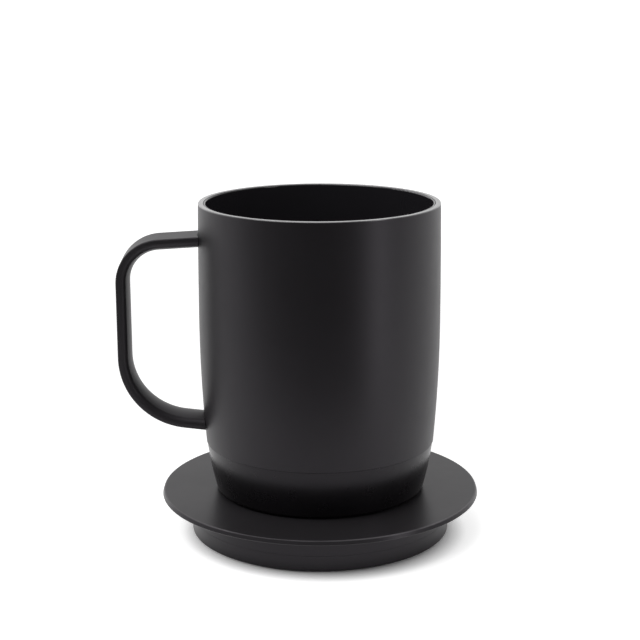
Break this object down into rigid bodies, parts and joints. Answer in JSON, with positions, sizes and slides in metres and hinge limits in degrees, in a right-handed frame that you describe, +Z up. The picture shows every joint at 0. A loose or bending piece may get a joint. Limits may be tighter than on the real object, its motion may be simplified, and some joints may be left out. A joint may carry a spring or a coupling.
{
  "type": "self-heating mug",
  "caption": "Self-heating mug with a strap handle, coated steel cup and sealed battery base, standing on a flanged round charging coaster with sprung contact pins.",
  "frame": {"origin": "on the mug's axis, at the underside of the coaster's foot pad, where it rests", "axes": "+Z up along the mug's axis, the handle points along -X, the charging inlet along +Y"},
  "size_m": [0.1249, 0.111, 0.1162],
  "materials": {
    "black_coat": "matte black powder coat, very fine grain",
    "liner_enamel": "gloss black coating",
    "black_plastic": "moulded, satin black",
    "coaster_plastic": "moulded, satin black, fine texture",
    "silicone": "soft matte dark grey",
    "bare_steel": "plain bright steel",
    "gold_contact": "gold plated",
    "barrel_brass": "turned brass",
    "circuit_board": "green solder mask",
    "chip_black": "moulded component black",
    "tray_plastic": "moulded dark grey",
    "cell_can": "metal can in a smooth blue wrap",
    "insulation_felt": "white ceramic felt",
    "heater_film": "amber polyimide film",
    "spreader_aluminium": "milled plate",
    "plunger_plastic": "white moulded plastic"
  },
  "bodies": {
    "coaster": {"coaster_top": "coaster_plastic", "coaster_base": "coaster_plastic", "coaster_foot_pad": "silicone", "coaster_screws": "bare_steel", "contact_block": "chip_black", "pin_barrels": "barrel_brass", "pin_spring_inner": "bare_steel", "pin_spring_outer": "bare_steel", "charge_board": "circuit_board", "charge_board_parts": "chip_black", "usb_shell": "bare_steel", "usb_tongue": "chip_black"},
    "inner_pin": {"contact_pin_inner": "gold_contact"},
    "outer_pin": {"contact_pin_outer": "gold_contact"},
    "mug": {"mug_shell": "black_coat", "inner_liner": "liner_enamel", "handle": "black_coat", "mounting_ring": "bare_steel", "base_housing": "black_plastic", "base_seal": "silicone", "housing_screws": "bare_steel", "base_cover": "black_plastic", "cover_screws": "bare_steel", "foot_ring": "silicone", "contact_disc": "gold_contact", "contact_ring": "gold_contact", "tact_switch": "chip_black", "main_board": "circuit_board", "board_parts": "chip_black", "battery_tray": "tray_plastic", "battery_cells": "cell_can", "battery_tabs": "bare_steel", "insulation_pad": "insulation_felt", "heater_film": "heater_film", "heat_spreader": "spreader_aluminium", "thermistor": "chip_black"},
    "button": {"power_button": "silicone", "switch_plunger": "plunger_plastic"}
  },
  "joints": [
    {"name": "inner_pin_travel", "type": "slide", "parent": "coaster", "child": "inner_pin", "axis": [0, 0, 1], "range_m": [-0.0007, 0], "stiffness_N_per_m": 300, "deforming": ["pin_spring_inner"]},
    {"name": "outer_pin_travel", "type": "slide", "parent": "coaster", "child": "outer_pin", "axis": [0, 0, 1], "range_m": [-0.0007, 0], "stiffness_N_per_m": 300, "deforming": ["pin_spring_outer"]},
    {"name": "mug_lift", "type": "slide", "parent": "coaster", "child": "mug", "axis": [0, 0, 1], "range_m": [0, 0.12]},
    {"name": "button_press", "type": "slide", "parent": "mug", "child": "button", "axis": [0, 0, 1], "range_m": [0, 0.0005], "stiffness_N_per_m": 1200}
  ]
}
